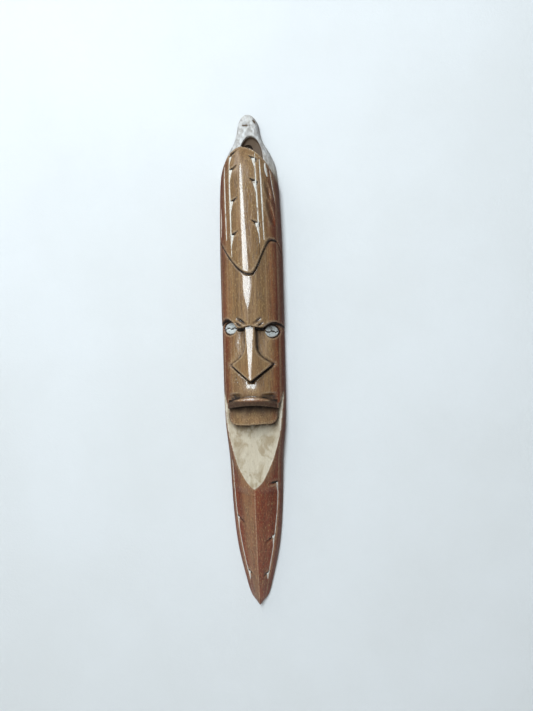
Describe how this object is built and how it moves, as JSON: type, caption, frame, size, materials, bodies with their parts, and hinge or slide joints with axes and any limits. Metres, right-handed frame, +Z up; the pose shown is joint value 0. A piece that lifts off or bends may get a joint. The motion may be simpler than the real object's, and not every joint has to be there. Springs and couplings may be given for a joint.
{
  "type": "carved wooden mask",
  "caption": "Tall narrow wall mask carved in hardwood, with shell eyes, a scalloped hair braid, a kite-shaped nose, a keeled spike below and a hanging hole in a bare tab.",
  "frame": {"origin": "centre of the hanging hole on the flat back, where the wall is", "axes": "+Z up along the mask, +Y into the wall, the face looks along -Y, +X to the viewer's right"},
  "size_m": [0.064, 0.046, 0.5],
  "materials": {
    "varnished_wood": "clear varnish over brown hardwood; bare and pale at the tab, rim and chin flat; back left sawn",
    "dark_putty": "matt, nearly black",
    "shell": "polished, pearly",
    "lime": "matt, rubbed into the cut lines"
  },
  "bodies": {
    "root": {"carved_body": "varnished_wood", "eye_putty_left": "dark_putty", "eye_shell_upper_left": "shell", "eye_shell_lower_left": "shell", "crest_lime_left": "lime", "hair_lime_left": "lime", "outer_lime_left": "lime", "spike_lime_left": "lime", "eye_putty_right": "dark_putty", "eye_shell_upper_right": "shell", "eye_shell_lower_right": "shell", "crest_lime_right": "lime", "hair_lime_right": "lime", "outer_lime_right": "lime", "spike_lime_right": "lime", "temple_lime_right": "lime"}
  },
  "joints": []
}
